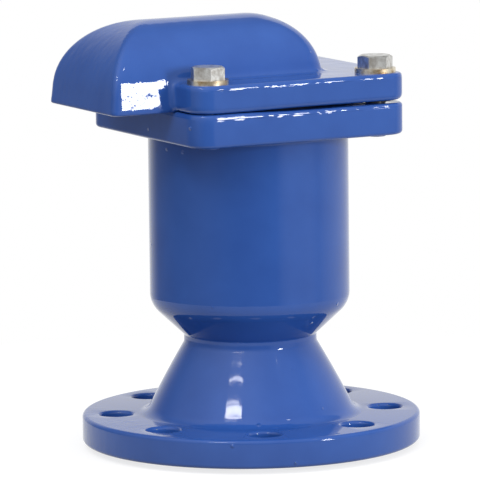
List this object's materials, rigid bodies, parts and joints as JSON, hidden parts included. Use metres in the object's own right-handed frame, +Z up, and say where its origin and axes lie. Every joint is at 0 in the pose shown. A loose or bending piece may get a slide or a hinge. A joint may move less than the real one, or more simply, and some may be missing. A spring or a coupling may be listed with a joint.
{
  "type": "air release valve",
  "caption": "Flanged air release valve with a conical foot, a caged ball float in a round chamber and a bolted square cover whose hood opens downwards.",
  "frame": {"origin": "centre of the inlet's raised face", "axes": "+Z up along the bore, -X towards the hood's overhang, Y across the hood"},
  "size_m": [0.2093, 0.2, 0.2563],
  "materials": {
    "blue_paint": "glossy thick epoxy over cast iron",
    "zinc_bolt": "bright zinc plated",
    "zinc_washer": "yellow zinc plated",
    "stainless": "drawn stainless steel",
    "seat_brass": "turned brass",
    "seat_rubber": "moulded rubber"
  },
  "bodies": {
    "casing": {"valve_body": "blue_paint", "hood_cover": "blue_paint", "seat_ring": "seat_rubber", "seat_retainer": "seat_brass", "retainer_screws": "stainless", "cage_base": "stainless", "cage_ring": "stainless", "guide_rod_1": "stainless", "guide_rod_2": "stainless", "guide_rod_3": "stainless", "guide_rod_4": "stainless", "guide_rod_5": "stainless", "guide_rod_6": "stainless", "cover_bolts": "zinc_bolt", "cover_washers": "zinc_washer", "outlet_screen": "stainless", "screen_screws": "stainless"},
    "float": {"float_upper_shell": "stainless", "float_lower_shell": "stainless", "float_weld": "stainless"}
  },
  "joints": [
    {"name": "float_lift", "type": "slide", "parent": "casing", "child": "float", "axis": [0, 0, 1], "range_m": [0, 0.0334]}
  ]
}
